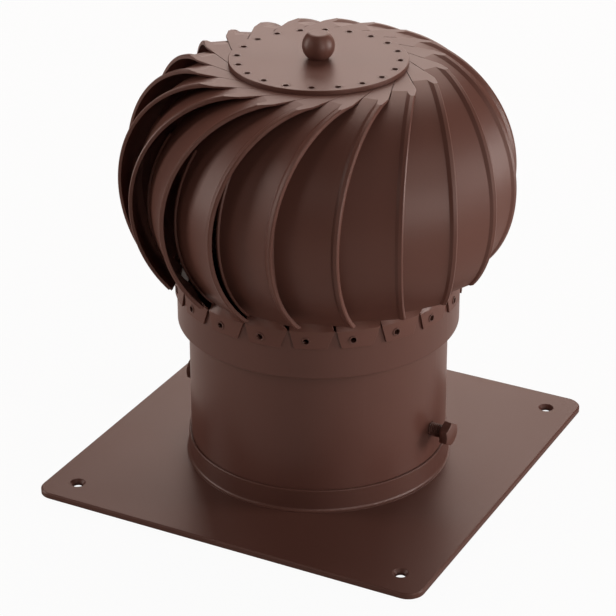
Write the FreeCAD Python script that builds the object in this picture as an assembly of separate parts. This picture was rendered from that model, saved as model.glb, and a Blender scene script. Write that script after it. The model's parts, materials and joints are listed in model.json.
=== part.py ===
import FreeCAD, Part
import math
import os
from FreeCAD import Vector

# Rotating chimney cowl: a square roof plate with a flue pipe, and a bladed turbine
# that turns on a fixed upright shaft. Millimetres, +Z up, origin under the plate's centre.

# Base plate and the socket collar on it
PLATE_SIDE = 250.0
PLATE_THICK = 3.5
PLATE_CORNER_R = 10.0
PLATE_EDGE_BEVEL = 0.8
HOLE_INSET = 18.5
HOLE_D = 6.0
COUNTERSINK_D = 9.6
COUNTERSINK_DEPTH = 1.8
COLLAR_HEIGHT = 14.0
COLLAR_WALL = 1.5
COLLAR_FOOT_R = 1.5
COLLAR_FOOT_EDGE = 0.4
COLLAR_TOP_BEVEL = 0.4
SOCKET_FLOOR = 2.0
SPIGOT_HEIGHT = 50.0
SPIGOT_WALL = 3.0
SPIGOT_TOP_BEVEL = 1.0
SOCKET_GAP = 0.15

# Flue pipe
PIPE_BORE = 150.0
PIPE_WALL = 2.3
PIPE_LENGTH = 110.0
PIPE_TOP_BEVEL = 0.5

# Clamp bolts that lock the pipe to the spigot
BOLT_D = 8.0
BOLT_HEAD_AF = 13.0
BOLT_HEAD_H = 5.3
BOLT_HEAD_FACE_D = 12.4
BOLT_HEAD_BEVEL_DEG = 30.0
BOLT_Z = 37.0
BOLT_AZIMUTHS = (-3.5, 182.0)
BOLT_STANDOFFS = (9.2, 4.9)
BOLT_HOLE_GAP = 0.25
BOLT_TIP_PAST_INSERT = 1.0
INSERT_D = 12.0
INSERT_LENGTH = 8.0
INSERT_GAP = 0.05
BOSS_WALL = 3.0
THREAD_GAP = 0.1

# Spider that carries the shaft inside the top of the pipe
SPIDER_ARMS = 4
SPIDER_HEIGHT = 16.0
SPIDER_TOP_DROP = 2.5
SPIDER_RING_WALL = 2.5
SPIDER_HUB_D = 26.0
SPIDER_ARM_THICK = 4.0
SPIDER_ARM_TIP_HEIGHT = 10.0
SPIDER_FIT_GAP = 0.1
SPIDER_RIVET_D = 4.0
SPIDER_RIVET_HEAD_D = 7.6
SPIDER_RIVET_HEAD_H = 1.2

# Fixed shaft with its nuts and washer
SHAFT_BODY_D = 12.0
SHAFT_SEAT_D = 8.0
SHAFT_TAIL_D = 10.0
SHAFT_FLANGE_D = 20.0
SHAFT_FLANGE_H = 3.0
SHAFT_END_PAST_NUT = 2.0
SHAFT_END_BEVEL = 0.8
SHAFT_GAP = 0.05
TAIL_NUT_AF = 16.0
TAIL_NUT_H = 8.0
TAIL_WASHER_D = 20.0
TAIL_WASHER_H = 2.0
TOP_NUT_AF = 13.0
TOP_NUT_H = 6.5

# Ball bearings
BEARING_BORE = 8.0
BEARING_OD = 22.0
BEARING_WIDTH = 7.0
BEARING_INNER_RING_OD = 12.1
BEARING_OUTER_RING_ID = 17.9
BEARING_BALLS = 7
BEARING_BALL_D = 3.9
BEARING_GROOVE_R = 2.05
BEARING_CAGE_WALL = 1.0
BEARING_CAGE_WIDTH = 4.8
BEARING_POCKET_GAP = 0.08
BEARING_SPAN = 20.0
BEARING_DROP = 28.5
SPACER_WALL = 1.4
CIRCLIP_THICK = 1.0
CIRCLIP_WIDTH = 2.6
CIRCLIP_GAP_DEG = 40.0
CIRCLIP_GROOVE_DEPTH = 0.9
CIRCLIP_PLAY = 0.05

# Bearing hub under the top disc
HUB_FLANGE_INSET = 1.0
HUB_FLANGE_THICK = 2.0
HUB_BOSS_WALL = 4.0
HUB_SHOULDER_WIDTH = 1.6
HUB_WEB_THICK = 4.0
HUB_LIP_BELOW_CIRCLIP = 3.0
HUB_CONE_REACH = 15.0
HUB_CONE_DROP = 18.0
HUB_FIT_GAP = 0.02

# Top disc and ball knob
DISC_R = 51.5
DISC_THICK = 2.5
DISC_EDGE_BEVEL = 0.3
KNOB_R = 9.4
KNOB_CENTRE_H = 7.6
KNOB_FLAT_D = 11.4
KNOB_FLAT_BEVEL = 0.5
KNOB_STUD_D = 6.0
KNOB_STUD_DEPTH = 9.0
KNOB_STUD_PAST_NUT = 1.0
KNOB_NUT_AF = 10.0
KNOB_NUT_H = 5.0

# Blades: a thin strip drawn between an arc at its inner edge and an arc at its outer edge,
# with a raised rim and lip on those edges and a riveted tab at each end.
# Each blade's own axes are u, away from the turbine's axis, and v, across the blade.
BLADE_COUNT = 20
BLADE_THICK = 1.2
BLADE_INNER_V = 20.2
BLADE_INNER_FOOT_INSET = 2.9
BLADE_INNER_FOLD_DEG = 79.63
BLADE_INNER_FOOT_RISE = 3.6
BLADE_OUTER_V = 59.5
BLADE_OUTER_FOOT_REACH = 13.25
BLADE_OUTER_FOLD_DEG = 82.5
BLADE_OUTER_FOOT_RISE = 8.4
BLADE_FOOT_DEG = -46.8
RIM_WIDTH = 1.2
RIM_RAMP = 0.6
RIM_RAISE = 0.8
RIM_TOP_DEG = 36.0
LIP_WIDTH = 2.5
LIP_RAMP = 2.5
LIP_RAISE = 1.2
LIP_EDGE_BEVEL = 0.6
LIP_FOOT_LIFT_DEG = 1.0
EDGE_ROOT = 0.8
EAR_BACK = 2.0
SHOULDER_DROP = 2.0
TAB_EDGE_DEG = 81.0
TAB_END_INSET = 10.5
TAB_END_HALF_DEG = 8.0
TAB_GAP = 0.35

# Rivets and skirt ring
RIVET_INSET = 4.9
RIVET_PHASE_DEG = 4.5
TOP_RIVET_FROM_BLADE_DEG = 75.0
RIVET_D = 4.2
RIVET_BORE = 3.4
RIVET_HOLE_GAP = 0.1
RIVET_FLARE_D = 5.2
RIVET_CLENCH_D = 6.4
RIVET_CLENCH_H = 0.7
RIVET_RIM_D = 4.9
RIVET_RIM_H = 0.4
RIVET_SEAT_GAP = 0.03
RING_CLEARANCE = 5.1
RING_WALL = 1.5
RING_HEIGHT = 30.0
RING_TOP_RISE = 8.5
RING_EDGE_R = 0.5
RING_RIVET_DROP = 5.5
TURBINE_HEIGHT = 132.0
RING_RIVET_FROM_BLADE_DEG = 21.0
FOOT_ROOT_DEG = 1.0
FOOT_ROOT_INSET = 0.2
FOOT_TAB_GAP = 0.15
FOOT_TAB_OUTER_V = 45.6
FOOT_TAB_TOP_DEG = (6.4, 10.8)
FOOT_TAB_END_DEG = (4.5, 8.0)
FOOT_TAB_BEND_RISE = 0.3
FOOT_TAB_DROP = 10.5

# Sizes that follow from the ones above
PIPE_R = PIPE_BORE / 2 + PIPE_WALL
PIPE_BOTTOM_Z = PLATE_THICK + SOCKET_FLOOR
PIPE_TOP_Z = PIPE_BOTTOM_Z + PIPE_LENGTH
SPIGOT_R = PIPE_BORE / 2 - SOCKET_GAP
SPIGOT_BORE_R = SPIGOT_R - SPIGOT_WALL
SOCKET_R = PIPE_R + SOCKET_GAP
COLLAR_R = SOCKET_R + COLLAR_WALL
INSERT_INNER_R = SPIGOT_R - INSERT_LENGTH
SPIDER_R = PIPE_BORE / 2 - SPIDER_FIT_GAP
SPIDER_TOP_Z = PIPE_TOP_Z - SPIDER_TOP_DROP
SPIDER_BOTTOM_Z = SPIDER_TOP_Z - SPIDER_HEIGHT
RING_R = PIPE_R + RING_CLEARANCE + RING_WALL
RING_TOP_Z = PIPE_TOP_Z + RING_TOP_RISE
RING_BOTTOM_Z = RING_TOP_Z - RING_HEIGHT
RING_RIVET_Z = RING_TOP_Z - RING_RIVET_DROP
DISC_TOP_Z = RING_TOP_Z + TURBINE_HEIGHT
DISC_BOTTOM_Z = DISC_TOP_Z - DISC_THICK
TAB_TOP_Z = DISC_BOTTOM_Z
TAB_BOTTOM_Z = TAB_TOP_Z - BLADE_THICK
TAB_END_R = DISC_R - TAB_END_INSET
RIVET_CIRCLE_R = DISC_R - RIVET_INSET
BEARING_PITCH_R = (BEARING_INNER_RING_OD + BEARING_OUTER_RING_ID) / 4
UPPER_BEARING_Z = DISC_BOTTOM_Z - BEARING_DROP
LOWER_BEARING_Z = UPPER_BEARING_Z - BEARING_SPAN
HUB_BORE_R = BEARING_OD / 2 + HUB_FIT_GAP
HUB_BOSS_R = HUB_BORE_R + HUB_BOSS_WALL
HUB_FLANGE_R = DISC_R - HUB_FLANGE_INSET
HUB_FLANGE_Z = TAB_BOTTOM_Z - HUB_FLANGE_THICK
HUB_WEB_Z = DISC_BOTTOM_Z - HUB_WEB_THICK
HUB_SHOULDER_Z = UPPER_BEARING_Z + BEARING_WIDTH
CIRCLIP_Z = LOWER_BEARING_Z - CIRCLIP_PLAY - CIRCLIP_THICK
HUB_BOTTOM_Z = CIRCLIP_Z - HUB_LIP_BELOW_CIRCLIP
BLADE_PITCH_DEG = 360 / BLADE_COUNT
FIRST_BLADE_DEG = RIVET_PHASE_DEG - TOP_RIVET_FROM_BLADE_DEG
FOOT_TAB_R = RING_R + FOOT_TAB_GAP
FOOT_TAB_BEND_Z = RING_TOP_Z + FOOT_TAB_BEND_RISE
FOOT_TAB_END_Z = RING_TOP_Z - FOOT_TAB_DROP
FAR = 4 * PLATE_SIDE
NEAR = 1e-3


def bend_radius(fold_deg, foot_rise):
    """The radius with which a blade's edge runs from its fold at the tab down to its foot."""
    span = TAB_TOP_Z - RING_TOP_Z - foot_rise
    return span / (math.sin(math.radians(fold_deg)) - math.sin(math.radians(BLADE_FOOT_DEG)))


def bend_centre(foot_r, v, fold_deg, radius):
    """Where the axis of a blade edge's arc lies, as (u, z), for a foot at a given radius."""
    foot_u = math.sqrt(foot_r ** 2 - v ** 2)
    centre_u = foot_u - radius * math.cos(math.radians(BLADE_FOOT_DEG))
    return centre_u, TAB_TOP_Z - radius * math.sin(math.radians(fold_deg))


BLADE_INNER_ARC_R = bend_radius(BLADE_INNER_FOLD_DEG, BLADE_INNER_FOOT_RISE)
BLADE_OUTER_ARC_R = bend_radius(BLADE_OUTER_FOLD_DEG, BLADE_OUTER_FOOT_RISE)
INNER_FOOT_R = RING_R - BLADE_INNER_FOOT_INSET
OUTER_FOOT_R = RING_R + BLADE_OUTER_FOOT_REACH
INNER_BEND = bend_centre(INNER_FOOT_R, BLADE_INNER_V, BLADE_INNER_FOLD_DEG, BLADE_INNER_ARC_R)
OUTER_BEND = bend_centre(OUTER_FOOT_R, BLADE_OUTER_V, BLADE_OUTER_FOLD_DEG, BLADE_OUTER_ARC_R)
LIP_CREST_R = BLADE_OUTER_ARC_R + LIP_RAISE


def tube(outer_r, inner_r, z_low, z_high):
    """A plain round tube standing on Z."""
    height = z_high - z_low
    base = Vector(0, 0, z_low)
    return Part.makeCylinder(outer_r, height, base).cut(Part.makeCylinder(inner_r, height, base))


def face_from(edges):
    """A flat face inside a closed loop of edges."""
    return Part.Face(Part.Wire(edges))


def polygon_face(points):
    """A flat face inside straight edges through the given points."""
    return Part.Face(Part.makePolygon(list(points) + [points[0]]))


def turned_profile(points):
    """A full turn about Z of a closed outline given as (radius, height) pairs."""
    outline = polygon_face([Vector(radius, 0, height) for radius, height in points])
    return outline.revolve(Vector(0, 0, 0), Vector(0, 0, 1), 360)


def about_z(shape, degrees):
    """A copy of a shape, turned about Z."""
    copy = shape.copy()
    copy.rotate(Vector(0, 0, 0), Vector(0, 0, 1), degrees)
    return copy


def polar(radius, degrees, height=0.0):
    """The point at a radius and an angle about Z."""
    angle = math.radians(degrees)
    return Vector(radius * math.cos(angle), radius * math.sin(angle), height)


def radial_rod(diameter, inner_r, outer_r, height, degrees):
    """A round rod that points away from Z at an angle."""
    rod = Part.makeCylinder(diameter / 2, outer_r - inner_r, Vector(inner_r, 0, height), Vector(1, 0, 0))
    return about_z(rod, degrees)


def hexagon(across_flats, height, base_z=0.0):
    """A hexagonal prism standing on Z."""
    corner_r = across_flats / math.sqrt(3)
    outline = polygon_face([polar(corner_r, 60 * step, base_z) for step in range(6)])
    return outline.extrude(Vector(0, 0, height))


def hex_nut(across_flats, height, bore, base_z):
    """A hexagon nut with both rims of its bore open, standing on Z."""
    nut = hexagon(across_flats, height, base_z)
    return nut.cut(Part.makeCylinder(bore / 2, height, Vector(0, 0, base_z)))


def edges_at_height(shape, height):
    """The edges of a shape that lie wholly at one height."""
    return [e for e in shape.Edges if all(abs(v.Z - height) < NEAR for v in e.Vertexes)
            and abs(e.BoundBox.ZLength) < NEAR]


def base_plate():
    """Square plate with countersunk corner holes and the flue's round opening."""
    half = PLATE_SIDE / 2
    plate = Part.makeBox(PLATE_SIDE, PLATE_SIDE, PLATE_THICK, Vector(-half, -half, 0))
    upright = [e for e in plate.Edges if e.BoundBox.ZLength > PLATE_THICK / 2]
    plate = plate.makeFillet(PLATE_CORNER_R, upright)
    plate = plate.makeChamfer(PLATE_EDGE_BEVEL, edges_at_height(plate, PLATE_THICK))
    plate = plate.cut(Part.makeCylinder(SPIGOT_BORE_R, PLATE_THICK))
    sink_low = PLATE_THICK - COUNTERSINK_DEPTH
    reach = half - HOLE_INSET
    for x in (-reach, reach):
        for y in (-reach, reach):
            hole = Part.makeCylinder(HOLE_D / 2, PLATE_THICK, Vector(x, y, 0))
            sink = Part.makeCone(HOLE_D / 2, COUNTERSINK_D / 2, COUNTERSINK_DEPTH, Vector(x, y, sink_low))
            plate = plate.cut(hole.fuse(sink))
    return plate.removeSplitter()


def socket_collar():
    """Round socket on the plate: outer collar, floor under the pipe, inner spigot with insert bosses."""
    collar_top = PLATE_THICK + COLLAR_HEIGHT
    spigot_top = PLATE_THICK + SPIGOT_HEIGHT
    foot_r = COLLAR_R + COLLAR_FOOT_R
    foot_z = PLATE_THICK + COLLAR_FOOT_EDGE
    foot_centre = Vector(foot_r, 0, foot_z + COLLAR_FOOT_R)
    foot_middle = foot_centre + Vector(-1, 0, -1) * (COLLAR_FOOT_R / math.sqrt(2))
    foot_start = Vector(foot_r, 0, foot_z)
    foot_end = Vector(COLLAR_R, 0, foot_z + COLLAR_FOOT_R)
    outline = [foot_end,
               Vector(COLLAR_R, 0, collar_top - COLLAR_TOP_BEVEL),
               Vector(COLLAR_R - COLLAR_TOP_BEVEL, 0, collar_top),
               Vector(SOCKET_R, 0, collar_top),
               Vector(SOCKET_R, 0, PIPE_BOTTOM_Z),
               Vector(SPIGOT_R, 0, PIPE_BOTTOM_Z),
               Vector(SPIGOT_R, 0, spigot_top - SPIGOT_TOP_BEVEL),
               Vector(SPIGOT_R - SPIGOT_TOP_BEVEL, 0, spigot_top),
               Vector(SPIGOT_BORE_R, 0, spigot_top),
               Vector(SPIGOT_BORE_R, 0, PLATE_THICK),
               Vector(foot_r, 0, PLATE_THICK),
               foot_start]
    sides = [Part.makeLine(a, b) for a, b in zip(outline, outline[1:])]
    arc = Part.Arc(foot_start, foot_middle, foot_end).toShape()
    collar = face_from([arc] + sides).revolve(Vector(0, 0, 0), Vector(0, 0, 1), 360)
    boss_d = INSERT_D + 2 * BOSS_WALL
    for azimuth in BOLT_AZIMUTHS:
        boss = radial_rod(boss_d, INSERT_INNER_R, SPIGOT_R - SPIGOT_WALL / 2, BOLT_Z, azimuth)
        collar = collar.fuse(boss)
    for azimuth in BOLT_AZIMUTHS:
        pocket = radial_rod(INSERT_D + 2 * INSERT_GAP, 0, SPIGOT_R + SOCKET_GAP / 2, BOLT_Z, azimuth)
        collar = collar.cut(pocket)
    return collar.removeSplitter()


def spider_rivet_azimuths():
    """Angles of the rivets that hold the spider, one midway between each pair of arms."""
    step = 360 / SPIDER_ARMS
    return [step * (index + 0.5) for index in range(SPIDER_ARMS)]


def flue_pipe():
    """Round pipe that stands in the base plate's socket."""
    pipe = turned_profile([(PIPE_BORE / 2, PIPE_BOTTOM_Z),
                           (PIPE_R, PIPE_BOTTOM_Z),
                           (PIPE_R, PIPE_TOP_Z - PIPE_TOP_BEVEL),
                           (PIPE_R - PIPE_TOP_BEVEL, PIPE_TOP_Z),
                           (PIPE_BORE / 2, PIPE_TOP_Z)])
    for azimuth in BOLT_AZIMUTHS:
        pipe = pipe.cut(radial_rod(BOLT_D + 2 * BOLT_HOLE_GAP, SPIGOT_R, FAR, BOLT_Z, azimuth))
    rivet_z = (SPIDER_TOP_Z + SPIDER_BOTTOM_Z) / 2
    for azimuth in spider_rivet_azimuths():
        pipe = pipe.cut(radial_rod(SPIDER_RIVET_D + 2 * RIVET_HOLE_GAP, SPIGOT_R, FAR, rivet_z, azimuth))
    return pipe


def clamp_bolts():
    """Equal hexagon-head bolts through the pipe's wall, one screwed in further than the other."""
    corner_r = BOLT_HEAD_AF / math.sqrt(3)
    face_r = BOLT_HEAD_FACE_D / 2
    bevel_h = (corner_r - face_r) * math.tan(math.radians(BOLT_HEAD_BEVEL_DEG))
    limit = turned_profile([(0, 0),
                            (corner_r, 0),
                            (corner_r, BOLT_HEAD_H - bevel_h),
                            (face_r, BOLT_HEAD_H),
                            (0, BOLT_HEAD_H)])
    head = hexagon(BOLT_HEAD_AF, BOLT_HEAD_H).common(limit)
    length = PIPE_R + max(BOLT_STANDOFFS) - INSERT_INNER_R + BOLT_TIP_PAST_INSERT
    shank = Part.makeCylinder(BOLT_D / 2, length, Vector(0, 0, -length))
    bolt = head.fuse(shank).removeSplitter()
    bolt.rotate(Vector(0, 0, 0), Vector(0, 1, 0), 90)
    solids = []
    for azimuth, standoff in zip(BOLT_AZIMUTHS, BOLT_STANDOFFS):
        copy = bolt.copy()
        copy.translate(Vector(PIPE_R + standoff, 0, BOLT_Z))
        solids.append(about_z(copy, azimuth))
    return Part.makeCompound(solids)


def threaded_inserts():
    """Threaded bushes set in the spigot's bosses."""
    solids = []
    for azimuth in BOLT_AZIMUTHS:
        bush = radial_rod(INSERT_D, INSERT_INNER_R, SPIGOT_R, BOLT_Z, azimuth)
        bore = radial_rod(BOLT_D + 2 * THREAD_GAP, 0, FAR, BOLT_Z, azimuth)
        solids.append(bush.cut(bore).common(Part.makeCylinder(SPIGOT_R, PIPE_TOP_Z)))
    return Part.makeCompound(solids)


def spider_ring():
    """Band inside the pipe's top that the spider's arms are joined to."""
    bore_r = SPIDER_R - SPIDER_RING_WALL
    ring = tube(SPIDER_R, bore_r, SPIDER_BOTTOM_Z, SPIDER_TOP_Z)
    rivet_z = (SPIDER_TOP_Z + SPIDER_BOTTOM_Z) / 2
    hole_d = SPIDER_RIVET_D + 2 * RIVET_HOLE_GAP
    for azimuth in spider_rivet_azimuths():
        ring = ring.cut(radial_rod(hole_d, bore_r / 2, FAR, rivet_z, azimuth))
    return ring


def spider_cross():
    """Hub and tapered arms that hold the shaft upright in the pipe."""
    hub_r = SPIDER_HUB_D / 2
    cross = Part.makeCylinder(hub_r, SPIDER_HEIGHT, Vector(0, 0, SPIDER_BOTTOM_Z))
    tip_drop = SPIDER_HEIGHT - SPIDER_ARM_TIP_HEIGHT
    side = -SPIDER_ARM_THICK / 2
    profile = polygon_face([Vector(hub_r / 2, side, SPIDER_BOTTOM_Z),
                            Vector(SPIDER_R, side, SPIDER_BOTTOM_Z + tip_drop / 2),
                            Vector(SPIDER_R, side, SPIDER_TOP_Z - tip_drop / 2),
                            Vector(hub_r / 2, side, SPIDER_TOP_Z)])
    arm = profile.extrude(Vector(0, SPIDER_ARM_THICK, 0))
    cross = cross.fuse([about_z(arm, 360 / SPIDER_ARMS * index) for index in range(SPIDER_ARMS)])
    cross = cross.common(Part.makeCylinder(SPIDER_R - SPIDER_RING_WALL, PIPE_TOP_Z))
    bore_r = SHAFT_TAIL_D / 2 + SHAFT_GAP
    return cross.cut(Part.makeCylinder(bore_r, PIPE_TOP_Z)).removeSplitter()


def spider_rivets():
    """Rivets through the pipe and the spider's ring, with a head on each side."""
    rivet_z = (SPIDER_TOP_Z + SPIDER_BOTTOM_Z) / 2
    head_r = SPIDER_RIVET_HEAD_D / 2
    seat_r = SPIDER_R - SPIDER_RING_WALL
    inner_seat = math.sqrt(seat_r ** 2 - head_r ** 2) - RIVET_SEAT_GAP
    solids = []
    for azimuth in spider_rivet_azimuths():
        head = radial_rod(SPIDER_RIVET_HEAD_D, PIPE_R, PIPE_R + SPIDER_RIVET_HEAD_H, rivet_z, azimuth)
        tail_end = inner_seat - SPIDER_RIVET_HEAD_H
        tail = radial_rod(SPIDER_RIVET_HEAD_D, tail_end, inner_seat, rivet_z, azimuth)
        shank = radial_rod(SPIDER_RIVET_D, inner_seat, PIPE_R, rivet_z, azimuth)
        solids.append(shank.fuse([head, tail]).removeSplitter())
    return Part.makeCompound(solids)


def shaft():
    """Fixed upright shaft: threaded tail, seat flange, body, and the bearings' seat."""
    tail_end = SPIDER_BOTTOM_Z - TAIL_WASHER_H - TAIL_NUT_H - SHAFT_END_PAST_NUT
    flange_top = SPIDER_TOP_Z + SHAFT_FLANGE_H
    seat_end = HUB_SHOULDER_Z + TOP_NUT_H + SHAFT_END_PAST_NUT
    tail_r = SHAFT_TAIL_D / 2
    seat_r = SHAFT_SEAT_D / 2
    return turned_profile([(0, tail_end),
                           (tail_r - SHAFT_END_BEVEL, tail_end),
                           (tail_r, tail_end + SHAFT_END_BEVEL),
                           (tail_r, SPIDER_TOP_Z),
                           (SHAFT_FLANGE_D / 2, SPIDER_TOP_Z),
                           (SHAFT_FLANGE_D / 2, flange_top),
                           (SHAFT_BODY_D / 2, flange_top),
                           (SHAFT_BODY_D / 2, LOWER_BEARING_Z),
                           (seat_r, LOWER_BEARING_Z),
                           (seat_r, seat_end - SHAFT_END_BEVEL),
                           (seat_r - SHAFT_END_BEVEL, seat_end),
                           (0, seat_end)])


def tail_washer():
    """Washer under the spider's hub."""
    bore_r = SHAFT_TAIL_D / 2 + BOLT_HOLE_GAP
    return tube(TAIL_WASHER_D / 2, bore_r, SPIDER_BOTTOM_Z - TAIL_WASHER_H, SPIDER_BOTTOM_Z)


def tail_nut():
    """Nut that draws the shaft down into the spider."""
    low = SPIDER_BOTTOM_Z - TAIL_WASHER_H - TAIL_NUT_H
    return hex_nut(TAIL_NUT_AF, TAIL_NUT_H, SHAFT_TAIL_D + 2 * THREAD_GAP, low)


def top_nut():
    """Nut that holds the inner rings down on the shaft."""
    return hex_nut(TOP_NUT_AF, TOP_NUT_H, SHAFT_SEAT_D + 2 * THREAD_GAP, HUB_SHOULDER_Z)


def ball_groove(z_low):
    """The ring-shaped groove that the balls run in."""
    return Part.makeTorus(BEARING_PITCH_R, BEARING_GROOVE_R, Vector(0, 0, z_low + BEARING_WIDTH / 2))


def bearing_inner_ring(z_low):
    """Inner ring of a ball bearing, fixed on the shaft."""
    bore_r = BEARING_BORE / 2 + SHAFT_GAP / 2
    ring = tube(BEARING_INNER_RING_OD / 2, bore_r, z_low, z_low + BEARING_WIDTH)
    return ring.cut(ball_groove(z_low))


def bearing_outer_ring(z_low):
    """Outer ring of a ball bearing, seated in the hub."""
    ring = tube(BEARING_OD / 2, BEARING_OUTER_RING_ID / 2, z_low, z_low + BEARING_WIDTH)
    return ring.cut(ball_groove(z_low))


def ball_places(z_low):
    """Centres of a bearing's balls."""
    height = z_low + BEARING_WIDTH / 2
    step = 360 / BEARING_BALLS
    return [polar(BEARING_PITCH_R, step * index, height) for index in range(BEARING_BALLS)]


def bearing_balls(z_low):
    """The balls of one bearing."""
    return Part.makeCompound([Part.makeSphere(BEARING_BALL_D / 2, place) for place in ball_places(z_low)])


def bearing_cage(z_low):
    """Cage that spaces a bearing's balls, with a round pocket for each."""
    middle = z_low + BEARING_WIDTH / 2
    half = BEARING_CAGE_WIDTH / 2
    cage = tube(BEARING_PITCH_R + BEARING_CAGE_WALL / 2, BEARING_PITCH_R - BEARING_CAGE_WALL / 2,
                middle - half, middle + half)
    pocket_d = BEARING_BALL_D + 2 * BEARING_POCKET_GAP
    for index in range(BEARING_BALLS):
        cage = cage.cut(radial_rod(pocket_d, 0, BEARING_OD, middle, 360 / BEARING_BALLS * index))
    return cage


def inner_spacer():
    """Sleeve on the shaft between the inner rings."""
    bore_r = SHAFT_SEAT_D / 2 + SHAFT_GAP
    return tube(bore_r + SPACER_WALL, bore_r, LOWER_BEARING_Z + BEARING_WIDTH, UPPER_BEARING_Z)


def outer_spacer():
    """Sleeve in the hub between the outer rings."""
    outer_r = HUB_BORE_R - SHAFT_GAP
    return tube(outer_r, outer_r - SPACER_WALL, LOWER_BEARING_Z + BEARING_WIDTH, UPPER_BEARING_Z)


def hub_circlip():
    """Open retaining ring in the hub's groove, under the lower bearing."""
    outer_r = HUB_BORE_R + CIRCLIP_GROOVE_DEPTH - CIRCLIP_PLAY
    clip = tube(outer_r, outer_r - CIRCLIP_WIDTH, CIRCLIP_Z, CIRCLIP_Z + CIRCLIP_THICK)
    slot = polygon_face([Vector(0, 0, CIRCLIP_Z),
                         polar(2 * outer_r, -CIRCLIP_GAP_DEG / 2, CIRCLIP_Z),
                         polar(2 * outer_r, CIRCLIP_GAP_DEG / 2, CIRCLIP_Z)])
    return clip.cut(slot.extrude(Vector(0, 0, CIRCLIP_THICK)))


def top_rivet_azimuths():
    """Angles of the rivets round the top disc."""
    return [RIVET_PHASE_DEG + BLADE_PITCH_DEG * index for index in range(BLADE_COUNT)]


def rivet_hole(z_low, z_high):
    """The rivets' round holes through a flat piece at the rivet circle."""
    hole_r = RIVET_D / 2 + RIVET_HOLE_GAP
    return [Part.makeCylinder(hole_r, z_high - z_low, polar(RIVET_CIRCLE_R, azimuth, z_low))
            for azimuth in top_rivet_azimuths()]


def bearing_hub():
    """Flanged hub with a strengthening cone that holds the outer rings under the top disc."""
    shoulder_r = HUB_BORE_R - HUB_SHOULDER_WIDTH
    groove_r = HUB_BORE_R + CIRCLIP_GROOVE_DEPTH
    groove_low = CIRCLIP_Z - CIRCLIP_PLAY
    groove_high = CIRCLIP_Z + CIRCLIP_THICK + CIRCLIP_PLAY
    stud_r = KNOB_STUD_D / 2 + BOLT_HOLE_GAP
    hub = turned_profile([(HUB_BORE_R, HUB_BOTTOM_Z),
                          (HUB_BOSS_R, HUB_BOTTOM_Z),
                          (HUB_BOSS_R, HUB_FLANGE_Z - HUB_CONE_DROP),
                          (HUB_BOSS_R + HUB_CONE_REACH, HUB_FLANGE_Z),
                          (HUB_FLANGE_R, HUB_FLANGE_Z),
                          (HUB_FLANGE_R, TAB_BOTTOM_Z),
                          (HUB_BOSS_R, TAB_BOTTOM_Z),
                          (HUB_BOSS_R, DISC_BOTTOM_Z),
                          (stud_r, DISC_BOTTOM_Z),
                          (stud_r, HUB_WEB_Z),
                          (shoulder_r, HUB_WEB_Z),
                          (shoulder_r, HUB_SHOULDER_Z),
                          (HUB_BORE_R, HUB_SHOULDER_Z),
                          (HUB_BORE_R, groove_high),
                          (groove_r, groove_high),
                          (groove_r, groove_low),
                          (HUB_BORE_R, groove_low)])
    return hub.cut(rivet_hole(HUB_FLANGE_Z, TAB_BOTTOM_Z))


def top_disc():
    """Flat cover disc over the blades' tabs, countersunk for the rivets' flares."""
    disc = Part.makeCylinder(DISC_R, DISC_THICK, Vector(0, 0, DISC_BOTTOM_Z))
    disc = disc.makeChamfer(DISC_EDGE_BEVEL, edges_at_height(disc, DISC_TOP_Z))
    disc = disc.cut(rivet_hole(DISC_BOTTOM_Z, DISC_TOP_Z))
    flare_h = (RIVET_FLARE_D - RIVET_D) / 2
    hole_r = RIVET_D / 2 + RIVET_HOLE_GAP
    flare_z = DISC_TOP_Z - flare_h
    sinks = [Part.makeCone(hole_r, hole_r + flare_h, flare_h, polar(RIVET_CIRCLE_R, azimuth, flare_z))
             for azimuth in top_rivet_azimuths()]
    stud_hole = Part.makeCylinder(KNOB_STUD_D / 2 + BOLT_HOLE_GAP, DISC_THICK, Vector(0, 0, DISC_BOTTOM_Z))
    return disc.cut(sinks + [stud_hole])


def top_rivets():
    """Hollow rivets: flush flare in the disc, shank through the tab, clenched under the hub's flange."""
    flare_h = (RIVET_FLARE_D - RIVET_D) / 2
    bore_r = RIVET_BORE / 2
    rivet = turned_profile([(bore_r, HUB_FLANGE_Z - RIVET_CLENCH_H),
                            (RIVET_CLENCH_D / 2, HUB_FLANGE_Z - RIVET_CLENCH_H),
                            (RIVET_CLENCH_D / 2, HUB_FLANGE_Z),
                            (RIVET_D / 2, HUB_FLANGE_Z),
                            (RIVET_D / 2, DISC_TOP_Z - flare_h),
                            (RIVET_FLARE_D / 2, DISC_TOP_Z),
                            (bore_r, DISC_TOP_Z)])
    solids = []
    for azimuth in top_rivet_azimuths():
        copy = rivet.copy()
        copy.translate(polar(RIVET_CIRCLE_R, azimuth))
        solids.append(copy)
    return Part.makeCompound(solids)


def ball_knob():
    """Ball knob with a flat top and a flat seat on the disc, bored for its stud."""
    centre_z = DISC_TOP_Z + KNOB_CENTRE_H
    flat_z = centre_z + math.sqrt(KNOB_R ** 2 - (KNOB_FLAT_D / 2) ** 2)
    ball = Part.makeSphere(KNOB_R, Vector(0, 0, centre_z))
    slab = Part.makeCylinder(2 * KNOB_R, flat_z - DISC_TOP_Z, Vector(0, 0, DISC_TOP_Z))
    knob = ball.common(slab)
    knob = knob.makeChamfer(KNOB_FLAT_BEVEL, edges_at_height(knob, flat_z))
    bore = Part.makeCylinder(KNOB_STUD_D / 2 + THREAD_GAP, KNOB_STUD_DEPTH, Vector(0, 0, DISC_TOP_Z))
    return knob.cut(bore)


def knob_stud():
    """Threaded stud that ties the knob, the disc and the hub together."""
    low = HUB_WEB_Z - KNOB_NUT_H - KNOB_STUD_PAST_NUT
    return Part.makeCylinder(KNOB_STUD_D / 2, DISC_TOP_Z + KNOB_STUD_DEPTH - low, Vector(0, 0, low))


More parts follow.
